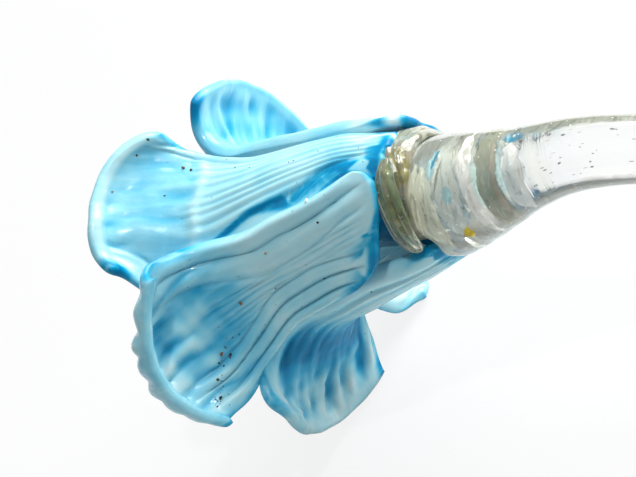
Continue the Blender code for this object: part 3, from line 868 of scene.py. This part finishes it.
def handle_radius(distances):
    """Radius of the collar with its bands evened out, running into the stem and grip."""
    flare = 1.7 * np.exp(-(distances - 16.5) / 6.0)
    stem = STEM_RADIUS + flare + (GRIP_RADIUS - STEM_RADIUS) * ease(distances, 50.0, NIB_START)
    at, radii = np.array(COLLAR_RADII).T
    nearby = np.linspace(-0.9, 0.9, 13)
    weight = hump(nearby, 0.0, 0.45)
    collar = sum(share * np.interp(distances + shift, at, radii) for share, shift in zip(weight, nearby))
    collar = collar / weight.sum()
    return collar + (stem - collar) * ease(distances, 15.0, 20.0)


def ring_points(distances, radii):
    """Points around the middle line, for grids of distance and radius (row, azimuth)."""
    along, lift, angle = handle_line(distances)
    azimuth = circle(radii.shape[1])
    across = radii * np.cos(azimuth)
    return np.stack([along - across * np.sin(angle), radii * np.sin(azimuth) + 0.0 * along,
                     lift + across * np.cos(angle)], axis=2)


def closed_rings(rings, first, last):
    """Points and faces of a skin over rings, closed by a fan at each end."""
    rows, around = rings.shape[:2]
    points = np.concatenate([rings.reshape(-1, 3), [first, last]])
    index = np.arange(rows * around).reshape(rows, around)
    faces = quads(np.concatenate([index, index[:, :1]], axis=1)).tolist()
    for column in range(around):
        after = (column + 1) % around
        faces.append([rows * around, int(index[0, after]), int(index[0, column])])
        faces.append([rows * around + 1, int(index[-1, column]), int(index[-1, after])])
    return points, faces


def painted_collar_light(distance, azimuth):
    """Strength and colour of the painted light and shade at each point of the collar."""
    strength = BASE_PAINTED_VEIL * (1.0 - ease(distance, 19.0, 21.5))
    colour = np.zeros(distance.shape + (3,)) + PEARL
    around = 1.4 * np.sin(azimuth)
    feather = 0.45 * wander(1.3 * distance, 3.0 * around, 61)
    feather = feather + 0.18 * wander(2.4 * distance, 6.0 * around, 62)
    for middle, at, length, width, slant, share, tone in COLLAR_PAINTED_LIGHT:
        turn = (azimuth - math.radians(at) + np.pi) % (2.0 * np.pi) - np.pi
        near = ((distance - middle - slant * turn) / length) ** 2 + (turn / math.radians(width)) ** 2
        inside = 1.0 - ease(near + feather, 0.60, 1.0)
        here = share * inside
        # Each cloud darkens toward its edge: a painted dark outline.
        shade = 0.45 + 0.55 * ease(inside, 0.6, 1.0)
        colour = np.where((here > strength)[..., None], shade[..., None] * np.array(tone), colour)
        strength = np.maximum(strength, here)
    return strength, colour


def add_handle(material):
    """Collar and handle as the one run of clear glass that they are, ringed behind the flower."""
    rows = np.concatenate([np.linspace(COLLAR_START, COLLAR_DONE, COLLAR_ROWS, endpoint=False),
                           np.linspace(COLLAR_DONE, NIB_START, STEM_ROWS)])[:, None]
    azimuth = circle(HANDLE_COLUMNS)
    lip = 0.9 * np.cos(azimuth + 1.0) + 0.35 * np.sin(5.0 * azimuth) + 0.2 * np.sin(9.0 * azimuth)
    lip = 0.9 - lip
    distance = rows + lip * (1.0 - ease(rows, COLLAR_START, 12.0))
    tilted = rows + 0.6 * np.sin(azimuth - 1.0) * (1.0 - ease(rows, 14.0, 22.0))
    radii = handle_radius(tilted)
    in_collar = ease(rows, COLLAR_START, 9.5) * (1.0 - ease(rows, 16.0, 24.0))
    around = 2.0 * np.sin(azimuth) + 1.1 * np.cos(azimuth)
    radii = radii + in_collar * 0.12 * wander(0.40 * rows, around, 31)
    radii = radii + 0.05 * wander(0.10 * rows, 2.0 * np.cos(azimuth + 0.4), 32)
    radii = radii * (0.75 + 0.25 * rounded(rows - COLLAR_START + 0.02, 0.9))
    ends = handle_line(np.array([COLLAR_START, NIB_START]))
    rings = ring_points(distance, radii)
    points, faces = closed_rings(rings, *[(ends[0][end], 0.0, ends[1][end]) for end in (0, 1)])
    # The collar's painted light and shade, as cloud strength and veil colour.
    cloud, veil = painted_collar_light(distance, azimuth + 0.0 * rows)
    cloud = np.concatenate([cloud.ravel(), [0.8, 0.0]])
    veil = np.concatenate([veil.reshape(-1, 3), [LOBE, PAINTED_SHADE]])
    make_piece("handle_glass", points, faces, HANDLE, material, ["collar", "stem"],
               {"cloud": cloud, "veil": veil})


def nib_radius(t):
    """Radius from the grip through a waist and a belly to the small flat end."""
    waist = 0.74 * NIB_RADIUS
    root = GRIP_RADIUS + (waist - GRIP_RADIUS) * ease(t, 0.0, 0.12)
    swollen = root + (NIB_RADIUS - waist) * ease(t, 0.12, 0.36)
    return swollen + (NIB_FLAT_RADIUS - swollen) * ease(t, 0.32, 1.0) ** 0.85


def add_nib(material):
    """Writing point with round ridges between narrow grooves that wind to the tip."""
    t = np.linspace(0.0, 1.0, NIB_ROWS)[:, None]
    angle = circle(NIB_FLUTES * 16)
    groove = (1.0 - np.abs(np.cos(0.5 * NIB_FLUTES * angle))) ** 1.5
    radius = nib_radius(t) * (1.0 - 0.26 * ease(t, 0.10, 0.30) * groove)
    turn = angle + NIB_TWIST * t
    along, lift, _ = handle_line(np.array([NIB_START]))
    start = along[0] + 0.05
    rings = np.stack([start + NIB_LENGTH * t + 0.0 * angle, radius * np.cos(turn),
                      lift[0] + radius * np.sin(turn)], axis=2)
    points, faces = closed_rings(rings, (start, 0.0, lift[0]), (start + NIB_LENGTH, 0.0, lift[0]))
    make_piece("nib_glass", points, faces, HANDLE, material, ["nib"],
               {"cloud": np.zeros(len(points)), "veil": np.full((len(points), 3), 0.6)})


# ---------------------------------------------------------------- core, wrap and chip

def add_core(material):
    """Deep blue receptacle: a fluted dome inside the petals and a lumpy flange behind them."""
    profile = np.array(CORE_PROFILE)
    travel = np.concatenate([[0.0], np.cumsum(np.linalg.norm(np.diff(profile, axis=0), axis=1))])
    fine = np.linspace(0.0, travel[-1], 120)
    radius, height = (np.interp(fine, travel, column) for column in profile.T)
    azimuth = circle(120)
    lumps = 0.22 * wander(0.6 * fine[:, None], 3.0 * np.sin(azimuth) + 2.0 * np.cos(azimuth), 41)
    flutes = 0.20 * np.cos(5.0 * azimuth) * ease(height[:, None], -1.0, 3.0)
    grown = radius[:, None] + (lumps + flutes) * ease(radius, 0.5, 4.0)[:, None]
    rings = turned(grown, azimuth, height[:, None])
    points, faces = closed_rings(rings, (0.0, 0.0, 9.05), (0.0, 0.0, -8.2))
    make_piece("core_glass", points, faces, HEAD, material, ["flower_core"])


def add_trail(name, rings, material, cloud, ends, veil, replaced):
    """A run of trailed glass: its rings closed at both ends, clouds and colours included."""
    points, faces = closed_rings(rings, rings[0].mean(axis=0), rings[-1].mean(axis=0))
    cloud = np.clip(np.concatenate([cloud.ravel(), [ends, ends]]), 0.0, 1.0)
    make_piece(name, points, faces, HEAD, material, replaced, {"cloud": cloud, "veil": veil})


def wrap_colour(azimuth, angle, height):
    """Beige wrap, olive at its front, with one blue spot."""
    olive = ease(wander(3.0 * azimuth, 2.0 * np.sin(angle), 52), -0.2, 0.3)
    olive = olive * (1.0 - ease(np.abs(azimuth + 0.3), 0.8, 1.4))
    spot = hump(azimuth, math.radians(22.0), 0.10) * hump(height, -5.6, 0.8)
    veil = np.array(BEIGE) + olive[..., None] * (np.array(OLIVE) - np.array(BEIGE))
    veil = veil + spot[..., None] * (np.array(BLUE) - veil)
    return np.concatenate([veil.reshape(-1, 3), [OLIVE, OLIVE]])


def add_wrap(material):
    """Olive trail laid three quarters of the way round the neck, lumpy and folded on itself."""
    t = np.linspace(-1.0, 1.0, 240)[:, None]
    angle = circle(64)
    azimuth = WRAP_AZIMUTH + t * WRAP_REACH
    swell = np.sqrt(np.clip(1.0 - np.abs(t) ** 4, 0.0, 1.0)) * 0.85 + 0.15
    lumps = 0.34 * wander(5.0 * azimuth, 2.0 * np.sin(angle), 51)
    fold = -0.34 * hump(np.sin(angle) - 0.5 * np.sin(2.5 * azimuth), 0.0, 0.12)
    radius = WRAP_RADIUS + (1.0 + lumps + fold) * swell * np.cos(angle)
    height = WRAP_HEIGHT + (2.2 + 0.5 * lumps) * swell * np.sin(angle)
    radius = radius + 0.25 * (height - WRAP_HEIGHT)
    cloud = 0.60 + 0.45 * wander(7.0 * azimuth, 3.0 * np.sin(angle), 53)
    add_trail("wrap_glass", turned(radius, azimuth, height), material, cloud, 0.8,
              wrap_colour(azimuth, angle, height), ["neck_wrap"])


def add_flap(material):
    """Clear folded flap lying over the petals' ends and the wrap."""
    t = np.linspace(0.0, 1.0, 140)[:, None]
    angle = circle(40)
    azimuth = np.radians(350.0 - 92.0 * t)
    wide = 1.7 * np.sqrt(np.clip(4.0 * t * (1.0 - t), 0.0, 1.0)) ** 0.7 + 0.05
    pleats = 0.12 * np.sin(3.5 * np.pi * np.cos(angle) + 5.0 * t) * ease(wide, 0.3, 1.2)
    radius = FLAP_RADIUS + (0.42 + pleats) * np.sin(angle) * ease(wide, 0.0, 0.8) + 0.2 * np.sin(9.0 * t)
    height = -5.2 + 1.6 * t - 0.6 * t * t + wide * np.cos(angle)
    rings = turned(radius, azimuth, height)
    cloud = 0.25 + 0.60 * wander(10.0 * t, 3.0 * np.cos(angle), 54)
    veil = np.zeros((cloud.size + 2, 3)) + FLAP_GREEN
    add_trail("flap_glass", rings, material, cloud, 0.4, veil, [])


# ---------------------------------------------------------------- bubbles and grit

def inside_handle(distance, azimuth, radius):
    """A point in the handle's frame, and the direction of the middle line there."""
    along, lift, angle = (float(values[0]) for values in handle_line(np.array([distance])))
    point = np.array([along - radius * math.cos(azimuth) * math.sin(angle), radius * math.sin(azimuth),
                      lift + radius * math.cos(azimuth) * math.cos(angle)])
    return point, np.array([math.cos(angle), 0.0, math.sin(angle)])


def add_seeds(material):
    """Fine drawn-out bubbles and specks in the clear handle, and sparks at the collar's skin."""
    dice = np.random.default_rng(71)
    round_points, faces = ball(2)
    shapes, pale = [], []
    for number in range(SEEDS):
        at_skin = number % 4 == 0
        distance = dice.uniform(10.0, 20.0) if at_skin else dice.uniform(14.0, 62.0)
        azimuth = dice.uniform(0.0, 2.0 * np.pi)
        depth = 1.0 if at_skin else 0.92 * math.sqrt(dice.uniform(0.05, 1.0))
        radius = float(handle_radius(np.array([distance]))[0]) * depth - (0.0 if at_skin else 0.4)
        middle, axis = inside_handle(distance, azimuth, radius)
        thin = dice.uniform(0.022, 0.046)
        long = thin if at_skin else dice.uniform(0.08, 0.34)
        shapes.append(middle + round_points * thin + (round_points @ axis)[:, None] * axis * (long - thin))
        pale.append(np.full(len(round_points), 1.0 if at_skin else dice.uniform(0.2, 0.7)))
    points, faces = many(shapes, faces)
    make_piece("seed_bubbles", points, faces, HANDLE, material, [],
               {"tone": np.concatenate(pale)})


def add_bubbles(material):
    """A few round air bubbles caught in the collar, each near the surface."""
    round_points, faces = ball(3)
    shapes = []
    for distance, azimuth, size in BUBBLES:
        radius = float(handle_radius(np.array([distance]))[0]) - size - 0.5
        middle, _ = inside_handle(distance, math.radians(azimuth), radius)
        shapes.append(middle + round_points * size * (1.15, 1.0, 0.9))
    points, faces = many(shapes, faces)
    make_piece("collar_bubbles", points, faces, HANDLE, material, [])


def grit_spots():
    """The grains above, a trail of small ones down the lowest fold, and fine dust."""
    dice = np.random.default_rng(81)
    spots = [(name, *grain) for name, grains in GRIT.items() for grain in grains]
    for _ in range(TRAIL_GRAINS):
        share = dice.uniform()
        along, across = (start + share * (end - start) for start, end in zip(*GRIT_TRAIL))
        spots.append(("petal_5", along + dice.normal(0.0, 0.012), across + dice.normal(0.0, 0.03),
                      dice.uniform(0.06, 0.14), 0.0))
    for _ in range(DUST_GRAINS):
        name = ("petal_1", "petal_4", "petal_5", "petal_5")[dice.integers(4)]
        spots.append((name, dice.uniform(0.05, 0.97), dice.uniform(-0.95, 0.95), dice.uniform(0.035, 0.075),
                      dice.uniform(0.0, 0.3)))
    return spots


def add_grit(petal_faces, material):
    """Grains of grit and ash half sunk in the petals' outer faces."""
    dice = np.random.default_rng(82)
    along, across = spread(PETAL_ROWS, 0.0, 1.0), spread(PETAL_COLUMNS, -1.0, 1.0)
    round_points, faces = ball(2)
    shapes, pale = [], []
    for name, u, v, size, tone in grit_spots():
        points, normals = petal_faces[name]
        row, column = np.abs(along - u).argmin(), np.abs(across - v).argmin()
        turn = dice.uniform(0.0, 6.0, 3)
        rough = np.sin(round_points @ (4.0, 3.0, 2.0) + turn[0]) * np.sin(3.0 * round_points[:, 2] + turn[1])
        stretch = 1.0 + 0.35 * np.sin(turn + (0.0, 2.0, 4.0))
        grain = round_points * (1.0 + 0.30 * rough)[:, None] * stretch * size
        shapes.append(points[row, column] + 0.1 * size * normals[row, column] + grain)
        pale.append(np.full(len(round_points), tone))
    points, faces = many(shapes, faces)
    make_piece("grit_grains", points, faces, HEAD, material, [],
               {"tone": np.concatenate(pale)})


def add_chip(material):
    """Yellow chip lying on the collar, with drawn-out points."""
    points, faces = ball(4)
    turn = np.arctan2(points[:, 1], points[:, 2])
    star = 0.24 * np.cos(3.0 * turn + 0.6) + 0.14 * np.cos(5.0 * turn + 2.0)
    star = 1.0 + star * (1.0 - points[:, 0] ** 2)
    points = points * star[:, None] * (0.30, 0.72, 0.62)
    place = Matrix.Rotation(math.radians(-93.0), 4, "Z") @ Matrix.Translation((6.9, 0.0, -11.8))
    points = np.array([place @ Vector(point) for point in points])
    make_piece("chip_glass", points, faces.tolist(), BEHIND, material, ["frit_chip"])


# ---------------------------------------------------------------- stage

def add_floor():
    """White floor that glows to the camera and is matt to everything else."""
    mesh = bpy.data.meshes.new("floor")
    corners = [(x * FLOOR_HALF, y * FLOOR_HALF, 0.0) for x, y in ((-1, -1), (1, -1), (1, 1), (-1, 1))]
    mesh.from_pydata(corners, [], [(0, 1, 2, 3)])
    material, tree = new_material("pale_floor")
    ray = node(tree, "ShaderNodeLightPath")
    seen = calc(tree, "MAXIMUM", ray.outputs["Is Camera Ray"], ray.outputs["Is Transmission Ray"])
    matt = node(tree, "ShaderNodeBsdfDiffuse", {"Color": (0.80, 0.80, 0.80, 1.0)})
    glow = node(tree, "ShaderNodeEmission", {"Color": (1.0, 1.0, 1.0, 1.0), "Strength": 1.0})
    shader = node(tree, "ShaderNodeMixShader",
                  {0: times(tree, seen, 0.85), 1: matt.outputs[0], 2: glow.outputs[0]})
    mesh.materials.append(finished(material, shader.outputs[0]))
    floor = bpy.data.objects.new("floor", mesh)
    bpy.context.scene.collection.objects.link(floor)


def add_light(name, place, aim, size, power):
    """Round lamp of a size in metres and a power in watts, turned toward its aim."""
    data = bpy.data.lights.new(name, "AREA")
    data.shape = "DISK"
    data.size = size
    data.energy = power
    lamp = bpy.data.objects.new(name, data)
    lamp.location = place
    lamp.rotation_euler = (Vector(aim) - Vector(place)).to_track_quat("-Z", "Y").to_euler()
    bpy.context.scene.collection.objects.link(lamp)


def add_world():
    """White surroundings, dimmer low down, whose light on the glass is weak and nearly even."""
    world = bpy.data.worlds.new("studio")
    world.use_nodes = True
    tree = world.node_tree
    tree.nodes.clear()
    place = node(tree, "ShaderNodeTexCoord").outputs["Generated"]
    height = node(tree, "ShaderNodeSeparateXYZ", {0: place}).outputs["Z"]
    seen = ramp(tree, height, (0.0, 0.55, 0.56, 0.54), (0.25, 0.62, 0.63, 0.61), (0.75, 1.0))
    even = ramp(tree, height, (0.0, 0.08, 0.09, 0.10), (1.0, 0.14, 0.15, 0.16))
    mirrored = ramp(tree, height, (0.0, 0.20, 0.21, 0.22), (0.55, 0.30, 0.31, 0.32), (0.85, 0.95))
    ray = node(tree, "ShaderNodeLightPath")
    colour = mix(tree, ray.outputs["Is Glossy Ray"], seen, mirrored)
    colour = mix(tree, ray.outputs["Is Diffuse Ray"], colour, even)
    background = node(tree, "ShaderNodeBackground", {"Color": colour})
    output = node(tree, "ShaderNodeOutputWorld")
    tree.links.new(background.outputs[0], output.inputs[0])
    bpy.context.scene.world = world


def camera_axes():
    """Right, up and back directions of the camera in the world."""
    back = Vector((math.sin(CAMERA_AZIMUTH) * math.cos(CAMERA_ELEVATION),
                   -math.cos(CAMERA_AZIMUTH) * math.cos(CAMERA_ELEVATION),
                   math.sin(CAMERA_ELEVATION)))
    level = Vector((0.0, 0.0, 1.0)).cross(back).normalized()
    rise = back.cross(level)
    right = math.cos(CAMERA_ROLL) * level + math.sin(CAMERA_ROLL) * rise
    return right, back.cross(right), back


def add_camera():
    """Camera of the photograph, placed by where the flower sits in its view."""
    right, up, back = camera_axes()
    turn = Matrix((right, up, back)).transposed()
    data = bpy.data.cameras.new("camera")
    data.sensor_width = 36.0
    data.lens = CAMERA_LENS
    data.clip_start = 0.01
    camera = bpy.data.objects.new("camera", data)
    camera.matrix_world = Matrix.Translation(HEAD.translation - turn @ HEAD_IN_VIEW) @ turn.to_4x4()
    bpy.context.scene.collection.objects.link(camera)
    bpy.context.scene.camera = camera


def add_lights():
    """Soft key from the top of the view, and a small one whose glints show the relief."""
    right, up, back = camera_axes()
    aim = HEAD.translation
    key = aim + 0.55 * (0.12 * back + 0.15 * right + 0.95 * up)
    add_light("key", key, aim, size=0.50, power=5.0)
    glint = aim + 0.50 * (0.8 * back - 0.3 * right + 0.6 * up)
    add_light("glint", glint, aim, size=0.025, power=0.8)


def build():
    """Every piece with its material, then the stage."""
    opal = petal_material()
    petal_faces = {name: add_petal(name, whole_petal(values, seed), opal)
                   for seed, (name, values) in enumerate(PETALS.items(), start=1)}
    add_grit(petal_faces, grit_material())
    clear = clear_material("clear_gather", CLEAR_GLASS, CLEAR_EDGE_SHADE)
    add_handle(clear)
    add_nib(clear)
    add_seeds(seed_material())
    add_bubbles(bubble_material())
    add_core(deep_material())
    olive = clear_material("olive_clear_trail", OLIVE_GLASS, OLIVE_EDGE_SHADE, ripple=0.3)
    add_wrap(olive)
    add_flap(olive)
    add_chip(frit_material())
    add_floor()
    add_world()
    add_camera()
    add_lights()
    bpy.context.scene.view_settings.view_transform = "Standard"


build()
